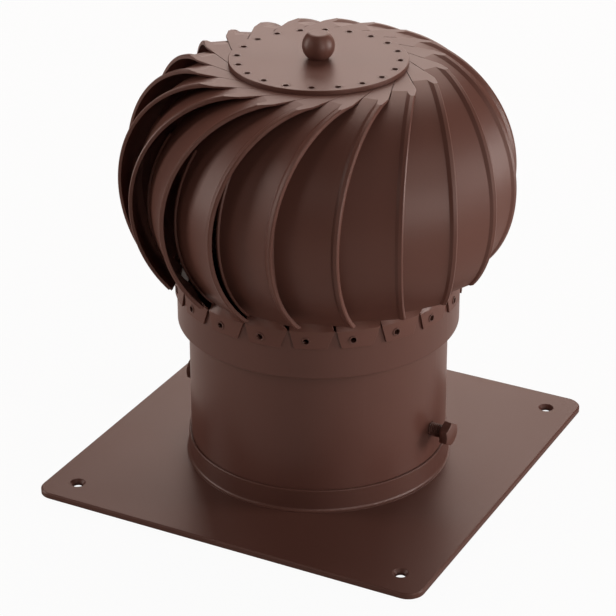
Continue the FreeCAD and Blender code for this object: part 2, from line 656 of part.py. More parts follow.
def knob_nut():
    """Nut on the stud, under the hub's web."""
    return hex_nut(KNOB_NUT_AF, KNOB_NUT_H, KNOB_STUD_D + 2 * THREAD_GAP, HUB_WEB_Z - KNOB_NUT_H)


def ring_rivet_azimuths():
    """Angles of the rivets round the skirt ring."""
    first = FIRST_BLADE_DEG + RING_RIVET_FROM_BLADE_DEG
    return [first + BLADE_PITCH_DEG * index for index in range(BLADE_COUNT)]


def skirt_ring():
    """Plain band that ties the blades' feet together round the pipe."""
    band = tube(RING_R, RING_R - RING_WALL, RING_BOTTOM_Z, RING_TOP_Z)
    rims = [e for e in edges_at_height(band, RING_BOTTOM_Z) if abs(e.BoundBox.XMax - RING_R) < NEAR]
    band = band.makeFillet(RING_EDGE_R, rims)
    hole_d = RIVET_D + 2 * RIVET_HOLE_GAP
    for azimuth in ring_rivet_azimuths():
        band = band.cut(radial_rod(hole_d, RING_R / 2, FAR, RING_RIVET_Z, azimuth))
    return band


def ring_rivets():
    """Hollow rivets through the blades' foot tabs and the skirt ring."""
    inner_wall = RING_R - RING_WALL
    clench_r = RIVET_CLENCH_D / 2
    outer_seat = FOOT_TAB_R + BLADE_THICK
    inner_seat = math.sqrt(inner_wall ** 2 - clench_r ** 2) - RIVET_SEAT_GAP
    solids = []
    for azimuth in ring_rivet_azimuths():
        shank = radial_rod(RIVET_D, inner_seat, outer_seat, RING_RIVET_Z, azimuth)
        outer = radial_rod(RIVET_RIM_D, outer_seat, outer_seat + RIVET_RIM_H, RING_RIVET_Z, azimuth)
        inner = radial_rod(RIVET_CLENCH_D, inner_seat - RIVET_CLENCH_H, inner_seat, RING_RIVET_Z, azimuth)
        bore = radial_rod(RIVET_BORE, 0, FAR, RING_RIVET_Z, azimuth)
        solids.append(shank.fuse([outer, inner]).cut(bore).removeSplitter())
    return Part.makeCompound(solids)


def bend_point(bend, radius, degrees, v):
    """A point of one of the blade's bends: u along X, v along Y."""
    angle = math.radians(degrees)
    return Vector(bend[0] + radius * math.cos(angle), v, bend[1] + radius * math.sin(angle))


def bend_angle(bend, radius, height):
    """The angle, above level, at which a bend reaches a height."""
    return math.degrees(math.asin((height - bend[1]) / radius))


def bend_arc(bend, radius, start_deg, end_deg, v):
    """An arc of one of the blade's bends, in the plane of one v."""
    middle_deg = (start_deg + end_deg) / 2
    return Part.Arc(bend_point(bend, radius, start_deg, v), bend_point(bend, radius, middle_deg, v),
                    bend_point(bend, radius, end_deg, v)).toShape()


def strip_section(bend, face_r, v):
    """The strip's closed outline at one v: flat tab, fold, arc and foot."""
    back_r = face_r - BLADE_THICK
    fold_deg = bend_angle(bend, face_r, TAB_TOP_Z)
    under_deg = bend_angle(bend, back_r, TAB_BOTTOM_Z)
    tab_end = Vector(-DISC_R, v, TAB_TOP_Z)
    under_end = Vector(-DISC_R, v, TAB_BOTTOM_Z)
    foot_face = bend_point(bend, face_r, BLADE_FOOT_DEG, v)
    foot_back = bend_point(bend, back_r, BLADE_FOOT_DEG, v)
    return Part.Wire([Part.makeLine(tab_end, bend_point(bend, face_r, fold_deg, v)),
                      bend_arc(bend, face_r, fold_deg, BLADE_FOOT_DEG, v),
                      Part.makeLine(foot_face, foot_back),
                      bend_arc(bend, back_r, BLADE_FOOT_DEG, under_deg, v),
                      Part.makeLine(bend_point(bend, back_r, under_deg, v), under_end),
                      Part.makeLine(under_end, tab_end)])


def blade_strip():
    """The whole strip, tab and arc in one, drawn straight across from the inner to the outer outline."""
    inner = strip_section(INNER_BEND, BLADE_INNER_ARC_R, BLADE_INNER_V)
    outer = strip_section(OUTER_BEND, BLADE_OUTER_ARC_R, BLADE_OUTER_V)
    return Part.makeLoft([inner, outer], True, True)


def fold_u():
    """How far out the strip's outer edge folds down from its flat tab."""
    fold_deg = bend_angle(OUTER_BEND, BLADE_OUTER_ARC_R, TAB_TOP_Z)
    return bend_point(OUTER_BEND, BLADE_OUTER_ARC_R, fold_deg, 0).x


def tab_outline():
    """Corners of the top tab in plan: each right edge clears the next blade's left edge."""
    split_u = fold_u()
    right_fold = Vector(split_u, BLADE_OUTER_V, 0)
    right_ear = Vector(split_u - EAR_BACK, BLADE_OUTER_V, 0)
    right_disc = polar(DISC_R, TAB_EDGE_DEG)
    end_right = polar(TAB_END_R, TOP_RIVET_FROM_BLADE_DEG + TAB_END_HALF_DEG)
    end_left = polar(TAB_END_R, TOP_RIVET_FROM_BLADE_DEG - TAB_END_HALF_DEG)
    one_back = FreeCAD.Rotation(Vector(0, 0, 1), -BLADE_PITCH_DEG)
    near_ear = one_back.multVec(right_ear)
    near_disc = one_back.multVec(right_disc)
    along = (near_ear - near_disc).normalize()
    across = Vector(-along.y, along.x, 0) * TAB_GAP
    left_disc = near_disc + across
    left_fold = left_disc + along * ((split_u - left_disc.x) / along.x)
    return [right_fold, right_ear, right_disc, end_right, end_left, left_disc, left_fold]


def blade_trim():
    """Everything inside the blade's cut outline: the tab in plan, the leaf seen along u."""
    corners = tab_outline()
    split_u = corners[0].x
    tab = polygon_face([Vector(p.x, p.y, HUB_FLANGE_Z) for p in corners])
    tab = tab.extrude(Vector(0, 0, DISC_TOP_Z - HUB_FLANGE_Z))
    neck_v = corners[-1].y
    shoulder_z = TAB_TOP_Z - SHOULDER_DROP
    shoulder_r = neck_v - BLADE_INNER_V
    centre = Vector(split_u, neck_v, shoulder_z - shoulder_r)
    arc_start = Vector(split_u, neck_v, shoulder_z)
    arc_end = Vector(split_u, BLADE_INNER_V, shoulder_z - shoulder_r)
    arc_middle = centre + Vector(0, -1, 1) * (shoulder_r / math.sqrt(2))
    points = [arc_end,
              Vector(split_u, BLADE_INNER_V, RING_BOTTOM_Z),
              Vector(split_u, BLADE_OUTER_V, RING_BOTTOM_Z),
              Vector(split_u, BLADE_OUTER_V, DISC_TOP_Z),
              Vector(split_u, neck_v, DISC_TOP_Z),
              arc_start]
    sides = [Part.makeLine(a, b) for a, b in zip(points, points[1:])]
    shoulder = Part.Arc(arc_start, arc_middle, arc_end).toShape()
    leaf = face_from([shoulder] + sides).extrude(Vector(FAR, 0, 0))
    return tab.fuse(leaf)


def turned_about_bend(bend, section, start_deg, end_deg):
    """Turn a (radius, v) outline about one of the blade's bend axes, from one angle to another."""
    outline = polygon_face([bend_point(bend, radius, start_deg, v) for radius, v in section])
    return outline.revolve(Vector(bend[0], 0, bend[1]), Vector(0, -1, 0), end_deg - start_deg)


def blade_rim():
    """Low raised rim along the blade's inner edge."""
    face_r = BLADE_INNER_ARC_R
    crest_v = BLADE_INNER_V + RIM_WIDTH
    section = [(face_r - EDGE_ROOT, BLADE_INNER_V),
               (face_r + RIM_RAISE, BLADE_INNER_V),
               (face_r + RIM_RAISE, crest_v),
               (face_r, crest_v + RIM_RAMP),
               (face_r - EDGE_ROOT, crest_v + RIM_RAMP)]
    return turned_about_bend(INNER_BEND, section, BLADE_FOOT_DEG, RIM_TOP_DEG)


def blade_lip():
    """Raised lip along the blade's outer edge, cut off level with the tab."""
    face_r = BLADE_OUTER_ARC_R
    crest_v = BLADE_OUTER_V - LIP_WIDTH
    section = [(face_r - EDGE_ROOT, crest_v - LIP_RAMP),
               (face_r, crest_v - LIP_RAMP),
               (LIP_CREST_R, crest_v),
               (LIP_CREST_R, BLADE_OUTER_V - LIP_EDGE_BEVEL),
               (LIP_CREST_R - LIP_EDGE_BEVEL, BLADE_OUTER_V),
               (face_r - EDGE_ROOT, BLADE_OUTER_V)]
    top_deg = bend_angle(OUTER_BEND, face_r, TAB_TOP_Z)
    bar = turned_about_bend(OUTER_BEND, section, BLADE_FOOT_DEG + LIP_FOOT_LIFT_DEG, top_deg)
    return bar.common(Part.makeCylinder(FAR, TAB_TOP_Z))


def blade_ear():
    """Flat corner of the tab that reaches out over the lip."""
    ear_deg = bend_angle(OUTER_BEND, LIP_CREST_R, TAB_TOP_Z)
    ear_u = bend_point(OUTER_BEND, LIP_CREST_R, ear_deg, 0).x
    split_u = fold_u()
    crest_v = BLADE_OUTER_V - LIP_WIDTH
    plan = polygon_face([Vector(split_u, crest_v - LIP_RAMP, TAB_BOTTOM_Z),
                         Vector(ear_u, crest_v, TAB_BOTTOM_Z),
                         Vector(ear_u, BLADE_OUTER_V, TAB_BOTTOM_Z),
                         Vector(split_u, BLADE_OUTER_V, TAB_BOTTOM_Z)])
    return plan.extrude(Vector(0, 0, BLADE_THICK))


def band_section(height, spread_deg):
    """A curved section of the foot tab, lying round the skirt ring."""
    low_deg = RING_RIVET_FROM_BLADE_DEG - spread_deg[0]
    high_deg = RING_RIVET_FROM_BLADE_DEG + spread_deg[1]
    middle_deg = (low_deg + high_deg) / 2
    outer_r = FOOT_TAB_R + BLADE_THICK
    outer = Part.Arc(polar(outer_r, low_deg, height), polar(outer_r, middle_deg, height),
                     polar(outer_r, high_deg, height)).toShape()
    inner = Part.Arc(polar(FOOT_TAB_R, high_deg, height), polar(FOOT_TAB_R, middle_deg, height),
                     polar(FOOT_TAB_R, low_deg, height)).toShape()
    return Part.Wire([outer,
                      Part.makeLine(polar(outer_r, high_deg, height), polar(FOOT_TAB_R, high_deg, height)),
                      inner,
                      Part.makeLine(polar(FOOT_TAB_R, low_deg, height), polar(outer_r, low_deg, height))])


def foot_root_point(depth, v):
    """A point just inside the strip's straight lower edge, at a depth under its face."""
    root_deg = BLADE_FOOT_DEG + FOOT_ROOT_DEG
    inner = bend_point(INNER_BEND, BLADE_INNER_ARC_R - depth, root_deg, BLADE_INNER_V)
    outer = bend_point(OUTER_BEND, BLADE_OUTER_ARC_R - depth, root_deg, BLADE_OUTER_V)
    share = (v - BLADE_INNER_V) / (BLADE_OUTER_V - BLADE_INNER_V)
    return inner + (outer - inner) * share


def blade_foot():
    """Foot tab: grows out of the strip's straight lower edge and wraps on to the skirt ring."""
    inner_v = BLADE_INNER_V + FOOT_ROOT_INSET
    deep = BLADE_THICK - FOOT_ROOT_INSET
    corners = [foot_root_point(FOOT_ROOT_INSET, inner_v),
               foot_root_point(FOOT_ROOT_INSET, FOOT_TAB_OUTER_V),
               foot_root_point(deep, FOOT_TAB_OUTER_V),
               foot_root_point(deep, inner_v)]
    root = Part.makePolygon(corners + [corners[0]])
    bend = band_section(FOOT_TAB_BEND_Z, FOOT_TAB_TOP_DEG)
    end = band_section(FOOT_TAB_END_Z, FOOT_TAB_END_DEG)
    return Part.makeLoft([root, bend], True, True).fuse(Part.makeLoft([bend, end], True, True))


def blade():
    """One blade in its own place: u along X, v along Y, before it is turned to its station."""
    sheet = blade_strip().common(blade_trim())
    whole = sheet.fuse([blade_rim(), blade_lip(), blade_ear(), blade_foot()])
    hole_d = RIVET_D + 2 * RIVET_HOLE_GAP
    top_place = polar(RIVET_CIRCLE_R, TOP_RIVET_FROM_BLADE_DEG, TAB_BOTTOM_Z)
    top_hole = Part.makeCylinder(hole_d / 2, BLADE_THICK, top_place)
    foot_hole = radial_rod(hole_d, RING_R, FAR, RING_RIVET_Z, RING_RIVET_FROM_BLADE_DEG)
    return whole.cut([top_hole, foot_hole]).removeSplitter()


def nodes():
    """Every piece of the cowl by its node name."""
    pieces = {
        "base_plate": base_plate(),
        "socket_collar": socket_collar(),
        "flue_pipe": flue_pipe(),
        "clamp_bolts": clamp_bolts(),
        "threaded_inserts": threaded_inserts(),
        "spider_ring": spider_ring(),
        "spider_cross": spider_cross(),
        "spider_rivets": spider_rivets(),
        "shaft": shaft(),
        "tail_washer": tail_washer(),
        "tail_nut": tail_nut(),
        "top_nut": top_nut(),
        "inner_spacer": inner_spacer(),
        "outer_spacer": outer_spacer(),
        "hub_circlip": hub_circlip(),
        "bearing_hub": bearing_hub(),
        "top_disc": top_disc(),
        "top_rivets": top_rivets(),
        "ball_knob": ball_knob(),
        "knob_stud": knob_stud(),
        "knob_nut": knob_nut(),
        "skirt_ring": skirt_ring(),
        "ring_rivets": ring_rivets(),
    }
    for place, z_low in (("upper", UPPER_BEARING_Z), ("lower", LOWER_BEARING_Z)):
        pieces[place + "_inner_ring"] = bearing_inner_ring(z_low)
        pieces[place + "_outer_ring"] = bearing_outer_ring(z_low)
        pieces[place + "_balls"] = bearing_balls(z_low)
        pieces[place + "_cage"] = bearing_cage(z_low)
    pattern = blade()
    for index in range(BLADE_COUNT):
        station = FIRST_BLADE_DEG + BLADE_PITCH_DEG * index
        pieces["blade_%02d" % (index + 1)] = about_z(pattern, station)
    return pieces


os.makedirs("parts", exist_ok=True)
for name, shape in nodes().items():
    shape.exportStep("parts/" + name + ".step")
    print(name, "solids", len(shape.Solids), "valid", shape.isValid(), "volume", round(shape.Volume, 1))
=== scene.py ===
"""Looks of a rotating chimney cowl: finishes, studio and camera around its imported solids.

Lengths are in metres unless a name says otherwise.
"""
import json
import logging
import math
from dataclasses import dataclass
from enum import Enum
from typing import Any, Union

import bmesh
import bpy
from mathutils import Matrix, Vector


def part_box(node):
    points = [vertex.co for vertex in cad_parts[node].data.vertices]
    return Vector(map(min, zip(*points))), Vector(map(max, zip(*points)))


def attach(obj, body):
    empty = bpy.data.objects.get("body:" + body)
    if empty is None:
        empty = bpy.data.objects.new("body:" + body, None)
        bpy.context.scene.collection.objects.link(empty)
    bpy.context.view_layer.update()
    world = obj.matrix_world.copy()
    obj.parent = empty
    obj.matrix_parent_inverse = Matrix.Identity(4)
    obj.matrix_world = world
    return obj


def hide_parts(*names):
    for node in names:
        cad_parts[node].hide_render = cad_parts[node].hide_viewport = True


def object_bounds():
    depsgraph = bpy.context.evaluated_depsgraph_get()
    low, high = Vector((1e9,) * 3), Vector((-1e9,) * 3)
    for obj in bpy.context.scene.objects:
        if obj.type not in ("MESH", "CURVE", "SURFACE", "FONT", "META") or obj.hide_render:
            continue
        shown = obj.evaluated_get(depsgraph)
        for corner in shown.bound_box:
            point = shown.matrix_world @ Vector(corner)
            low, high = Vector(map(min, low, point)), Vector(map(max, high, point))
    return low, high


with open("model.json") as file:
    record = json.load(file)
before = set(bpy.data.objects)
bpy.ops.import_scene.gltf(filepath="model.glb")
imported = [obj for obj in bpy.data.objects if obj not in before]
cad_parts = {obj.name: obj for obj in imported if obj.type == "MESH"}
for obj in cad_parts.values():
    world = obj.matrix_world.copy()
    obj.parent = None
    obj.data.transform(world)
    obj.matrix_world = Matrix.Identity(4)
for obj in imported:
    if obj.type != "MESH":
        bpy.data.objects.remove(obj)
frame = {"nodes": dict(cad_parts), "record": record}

CAD_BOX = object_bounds()
LOG = logging.getLogger("cowl")

Colour = tuple[float, float, float]
Cover = tuple[float, float, float, float]
Triple = tuple[float, float, float]

MERGE = 1e-6  # corners nearer than this are one
NOISE_MEAN = 0.5  # the middle of a noise's range
UP = Vector((0.0, 0.0, 1.0))
DOWN = Vector((0.0, 0.0, -1.0))


class Body(Enum):
    """The body that the new pieces ride on."""

    BASE = "base"


class Slot(Enum):
    """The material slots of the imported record."""

    BROWN_COAT = "brown_coat"
    BROWN_FASTENERS = "brown_fasteners"
    FRAME_BLACK = "frame_black"
    BRASS = "brass"
    STEEL = "steel"


class Value:
    """One socket of a shader tree, with the sums that shading needs where it carries a number."""

    def __init__(self, tree: "ShaderTree", socket: bpy.types.NodeSocket) -> None:
        """Keep the socket and the tree that its sums go into.

        Args:
            tree: the tree that new Math nodes are added to.
            socket: the output that it stands for.
        """
        self.tree = tree
        self.socket = socket

    def _sum(self, operation: str, left: Any, right: Any) -> "Value":
        """Add one Math node.

        Args:
            operation: the Math node's operation.
            left: its first value or link.
            right: its second value or link.

        Returns:
            The node's result.
        """
        made = self.tree.node("ShaderNodeMath", {"operation": operation}, {0: left, 1: right})
        return made["Value"]

    def __add__(self, other: Any) -> "Value":
        """This value plus another."""
        return self._sum("ADD", self, other)

    def __radd__(self, other: Any) -> "Value":
        """Another value plus this one."""
        return self._sum("ADD", other, self)

    def __sub__(self, other: Any) -> "Value":
        """This value less another."""
        return self._sum("SUBTRACT", self, other)

    def __rsub__(self, other: Any) -> "Value":
        """Another value less this one."""
        return self._sum("SUBTRACT", other, self)

    def __mul__(self, other: Any) -> "Value":
        """This value times another."""
        return self._sum("MULTIPLY", self, other)

    def __rmul__(self, other: Any) -> "Value":
        """Another value times this one."""
        return self._sum("MULTIPLY", other, self)

    def __gt__(self, other: Any) -> "Value":
        """One where this value is over another; Python also asks it for other < this."""
        return self._sum("GREATER_THAN", self, other)


class ShaderTree:
    """Nodes of one material or world, added through a single method."""

    def __init__(self, owner: Union[bpy.types.Material, bpy.types.World]) -> None:
        """Clear the owner's tree and keep it.

        Args:
            owner: the material or world that the nodes belong to.
        """
        owner.use_nodes = True
        self.tree = owner.node_tree
        self.tree.nodes.clear()

    def node(
        self, kind: str, settings: dict[str, Any], inputs: dict[Any, Any]
    ) -> dict[str, Value]:
        """Add a node.

        Args:
            kind: the node's type.
            settings: attributes, which are set first.
            inputs: the value or the link of each named or numbered input.

        Returns:
            The node's outputs by name.
        """
        made = self.tree.nodes.new(kind)
        for name, setting in settings.items():
            setattr(made, name, setting)
        for name, given in inputs.items():
            socket = self._input(made, name)
            if isinstance(given, Value):
                self.tree.links.new(given.socket, socket)
            else:
                socket.default_value = given
        return {output.name: Value(self, output) for output in made.outputs if output.enabled}

    @staticmethod
    def _input(made: bpy.types.Node, name: Union[str, int]) -> bpy.types.NodeSocket:
        """Find an input that is in use.

        Args:
            made: the node to look in.
            name: the input's name or number.

        Returns:
            The numbered input, or the first one in use of that name.
        """
        if isinstance(name, int):
            return made.inputs[name]
        return next(socket for socket in made.inputs if socket.enabled and socket.name == name)


def shade(colour: Colour, factor: float = 1.0) -> Cover:
    """Scale a colour's light, and give it full cover.

    Args:
        colour: the colour to scale.
        factor: how much of its light stays.

    Returns:
        The scaled colour.
    """
    return (colour[0] * factor, colour[1] * factor, colour[2] * factor, 1.0)


@dataclass(frozen=True)
class MouldedPlastic:
    """Satin plastic, coloured through: fine skin, clouds of tone, soft edges lightened by wear and
    painted highlight.
    """

    colour: Colour
    roughness: float = 0.41
    roughness_spread: float = 0.10
    cloud_per_m: float = 16.0
    cloud_detail: float = 4.0
    cloud_breakup: float = 0.6
    cloud_depth: float = 0.12
    cloud_share: float = 0.7
    skin_per_m: float = 1500.0
    skin_detail: float = 2.0
    skin_breakup: float = 0.5
    skin_height: float = 0.00003
    skin_stretch: Triple = (1.0, 1.0, 1.0)
    skin_share: float = 0.3
    skin_gloss: float = 0.06
    # how much lighter sharp edges get: partly rubbed wear, partly a painted highlight
    wear_and_highlight_lift: float = 0.55
    rubbed_gloss: float = 0.05
    edge_radius: float = 0.0004
    edge_samples: int = 4
    edge_cosines: tuple[float, float] = (0.99, 0.85)
    specular: float = 0.38
    gloss_tint: Colour = (1.0, 0.86, 0.80)

    def material(self, name: str) -> bpy.types.Material:
        """Make the material.

        Args:
            name: the material's name.

        Returns:
            The finished material.
        """
        made = bpy.data.materials.new(name)
        tree = ShaderTree(made)
        place = tree.node("ShaderNodeTexCoord", {}, {})["Object"]
        cloud = tree.node("ShaderNodeTexNoise", {}, {
            "Vector": place, "Scale": self.cloud_per_m, "Detail": self.cloud_detail,
            "Roughness": self.cloud_breakup})["Fac"]
        drawn = tree.node("ShaderNodeMapping", {}, {
            "Vector": place, "Scale": self.skin_stretch})["Vector"]
        skin = tree.node("ShaderNodeTexNoise", {}, {
            "Vector": drawn, "Scale": self.skin_per_m, "Detail": self.skin_detail,
            "Roughness": self.skin_breakup})["Fac"]
        soft = tree.node("ShaderNodeBevel", {"samples": self.edge_samples}, {
            "Radius": self.edge_radius})["Normal"]
        tone = tree.node("ShaderNodeMix", {"data_type": "RGBA"}, {
            "Factor": cloud * self.cloud_share + skin * self.skin_share,
            "A": shade(self.colour, 1.0 - self.cloud_depth),
            "B": shade(self.colour, 1.0 + self.cloud_depth)})["Result"]
        # Sharp edges are lightened: partly rubbed wear, partly a painted highlight along them.
        wear_and_highlight = self._edge_wear_and_highlight(tree, soft) * cloud
        tint = tree.node("ShaderNodeMix", {"data_type": "RGBA"}, {
            "Factor": wear_and_highlight, "A": tone, "B": shade(self.colour, 1.0 + self.wear_and_highlight_lift)})["Result"]
        rough = (
            (cloud - NOISE_MEAN) * self.roughness_spread + (skin - NOISE_MEAN) * self.skin_gloss
            + self.roughness - wear_and_highlight * self.rubbed_gloss)
        bump = tree.node("ShaderNodeBump", {}, {
            "Strength": 1.0, "Distance": self.skin_height, "Height": skin,
            "Normal": soft})["Normal"]
        surface = tree.node("ShaderNodeBsdfPrincipled", {}, {
            "Base Color": tint, "Roughness": rough, "Normal": bump,
            "Specular IOR Level": self.specular,
            "Specular Tint": shade(self.gloss_tint)})["BSDF"]
        tree.node("ShaderNodeOutputMaterial", {}, {"Surface": surface})
        return made

    def _edge_wear_and_highlight(self, tree: ShaderTree, soft: Value) -> Value:
        """Find the sharp edges, which are lightened partly as rubbed wear and partly as a painted
        highlight.

        Args:
            tree: the tree to work in.
            soft: the softened normal.

        Returns:
            One on sharp edges, and nothing on flats.
        """
        flat = tree.node("ShaderNodeNewGeometry", {}, {})["True Normal"]
        turn = tree.node("ShaderNodeVectorMath", {"operation": "DOT_PRODUCT"}, {
            0: soft, 1: flat})["Value"]
        unworn, full = self.edge_cosines
        return tree.node("ShaderNodeMapRange", {"interpolation_type": "SMOOTHSTEP"}, {
            "Value": turn, "From Min": unworn, "From Max": full,
            "To Min": 0.0, "To Max": 1.0})["Result"]


@dataclass(frozen=True)
class TurnedMetal:
    """Bare machined metal with fine tool marks and a thin oily film."""

    colour: Colour
    roughness: float = 0.30
    mark_per_m: float = 900.0
    mark_waver: float = 2.0
    mark_detail: float = 2.0
    mark_depth: float = 0.14
    film_per_m: float = 130.0
    film_detail: float = 3.0
    film_depth: float = 0.13
    film_dulling: float = 0.08

    def material(self, name: str) -> bpy.types.Material:
        """Make the material.

        Args:
            name: the material's name.

        Returns:
            The finished material.
        """
        made = bpy.data.materials.new(name)
        tree = ShaderTree(made)
        place = tree.node("ShaderNodeTexCoord", {}, {})["Object"]
        marks = tree.node("ShaderNodeTexWave", {"wave_type": "RINGS", "rings_direction": "Z"}, {
            "Vector": place, "Scale": self.mark_per_m, "Distortion": self.mark_waver,
            "Detail": self.mark_detail})["Fac"]
        film = tree.node("ShaderNodeTexNoise", {}, {
            "Vector": place, "Scale": self.film_per_m, "Detail": self.film_detail})["Fac"]
        tint = tree.node("ShaderNodeMix", {"data_type": "RGBA"}, {
            "Factor": film, "A": shade(self.colour, 1.0 - self.film_depth),
            "B": shade(self.colour, 1.0 + self.film_depth)})["Result"]
        rough = (
            self.roughness + (marks - NOISE_MEAN) * self.mark_depth + film * self.film_dulling)
        surface = tree.node("ShaderNodeBsdfPrincipled", {}, {
            "Base Color": tint, "Roughness": rough, "Metallic": 1.0})["BSDF"]
        tree.node("ShaderNodeOutputMaterial", {}, {"Surface": surface})
        return made


BROWN: Colour = (0.112, 0.045, 0.033)
# A darker copy of the brown: painted shade on the pipe and skirt.
SHADED_PIPE_BROWN: Colour = (0.098, 0.039, 0.029)
# A darker copy of the brown: painted shade on the plate and collar.
SHADED_PLATE_BROWN: Colour = (0.086, 0.034, 0.025)


class Look(Enum):
    """Every finish on the cowl, with the values that set it apart."""

    MOULDED_BROWN = MouldedPlastic(colour=BROWN)
    # The pipe and skirt wear a darker copy of the brown as painted shade, with a drawn skin.
    DRAWN_BROWN = MouldedPlastic(
        colour=SHADED_PIPE_BROWN, roughness=0.33, roughness_spread=0.06, skin_per_m=1100.0,
        skin_height=0.00001, skin_stretch=(1.0, 1.0, 0.03), specular=0.50)
    # The plate and collar wear a darker copy of the brown as painted shade, on a pebbled skin.
    PEBBLED_BROWN = MouldedPlastic(
        colour=SHADED_PLATE_BROWN, roughness=0.42, skin_per_m=1900.0, skin_height=0.00004)
    # The fasteners and the frame get stronger edge lightening: partly wear, partly painted highlight.
    FASTENER_BROWN = MouldedPlastic(colour=(0.106, 0.046, 0.035), roughness=0.37, wear_and_highlight_lift=0.8)
    FRAME_BLACK = MouldedPlastic(
        colour=(0.016, 0.014, 0.013), roughness=0.46, skin_per_m=700.0, skin_height=0.00008,
        wear_and_highlight_lift=0.8)
    BRASS = TurnedMetal(colour=(0.58, 0.41, 0.17))
    STEEL = TurnedMetal(colour=(0.50, 0.50, 0.52))


SLOT_LOOKS: dict[Slot, Look] = {
    Slot.BROWN_COAT: Look.MOULDED_BROWN,
    Slot.BROWN_FASTENERS: Look.FASTENER_BROWN,
    Slot.FRAME_BLACK: Look.FRAME_BLACK,
    Slot.BRASS: Look.BRASS,
    Slot.STEEL: Look.STEEL,
}
NODE_LOOKS: dict[str, Look] = {
    # The plate and collar wear a darker copy of the brown as painted shade.
    "base_plate": Look.PEBBLED_BROWN,
    "socket_collar": Look.PEBBLED_BROWN,
    # The pipe and skirt wear a darker copy of the brown as painted shade.
    "flue_pipe": Look.DRAWN_BROWN,
    "skirt_ring": Look.DRAWN_BROWN,
}


class Wardrobe:
    """Makes each finish once and puts it on the pieces."""

    def __init__(self) -> None:
        """Make one material for each look."""
        self.materials = {look: look.value.material(look.name.lower()) for look in Look}

    def wear(self, piece: bpy.types.Object, look: Look) -> None:
        """Put a finish on a piece.

        Args:
            piece: the object to dress.
            look: the finish that it takes.
        """
        if piece.material_slots:
            for place in piece.material_slots:
                place.material = self.materials[look]
        else:
            piece.data.materials.append(self.materials[look])

    def dress_frame(self) -> None:
        """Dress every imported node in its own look, or in its slot's."""
        for sub_part in frame["record"]["subparts"]:
            node = sub_part["node"]
            look = NODE_LOOKS.get(node, SLOT_LOOKS[Slot(sub_part["material_slot"])])
            self.wear(frame["nodes"][node], look)
            LOG.info("dressed %s in %s", node, look.name)


def lifted(height: float) -> Matrix:
    """A move straight up by a height."""
    return Matrix.Translation((0.0, 0.0, height))


class Shell:
    """A mesh under construction, with the steps that more than one piece needs."""

    def __init__(self) -> None:
        """Start with nothing."""
        self.mesh = bmesh.new()

    def copy_node(self, node: str) -> None:
        """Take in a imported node's triangles, joined at their corners.

        Args:
            node: the node to copy.
        """
        self.mesh.from_mesh(frame["nodes"][node].data)
        bmesh.ops.remove_doubles(self.mesh, verts=self.mesh.verts, dist=MERGE)

    def cut(self, point: Vector, keep: Vector) -> None:
        """Cut the shell off flat and close the cut.

        Args:
            point: a point of the cut.
            keep: the direction of the side that stays.
        """
        everything = list(self.mesh.verts) + list(self.mesh.edges) + list(self.mesh.faces)
        bmesh.ops.bisect_plane(
            self.mesh, geom=everything, dist=MERGE, plane_co=point, plane_no=keep, clear_inner=True)
        rim = [edge for edge in self.mesh.edges if edge.is_boundary]
        bmesh.ops.holes_fill(self.mesh, edges=rim)

    def move(self, matrix: Matrix) -> None:
        """Put the whole shell in its place."""
        bmesh.ops.transform(self.mesh, matrix=matrix, verts=self.mesh.verts)

    def add(self, other: "Shell") -> None:
        """Take in another shell and empty it.

        Args:
            other: the shell to take in.
        """
        carrier = bpy.data.meshes.new("carrier")
        other.mesh.to_mesh(carrier)
        other.mesh.free()
        self.mesh.from_mesh(carrier)
        bpy.data.meshes.remove(carrier)

    def finish(self, name: str, smooth_deg: float = 30.0) -> bpy.types.Object:
        """Turn the shell into an object at the origin.

        Args:
            name: the object's name.
            smooth_deg: edges that turn by less than this are shaded smooth.

        Returns:
            The object, linked to the scene.
        """
        data = bpy.data.meshes.new(name)
        self.mesh.to_mesh(data)
        self.mesh.free()
        data.shade_smooth()
        data.set_sharp_from_angle(angle=math.radians(smooth_deg))
        piece = bpy.data.objects.new(name, data)
        bpy.context.scene.collection.objects.link(piece)
        return piece


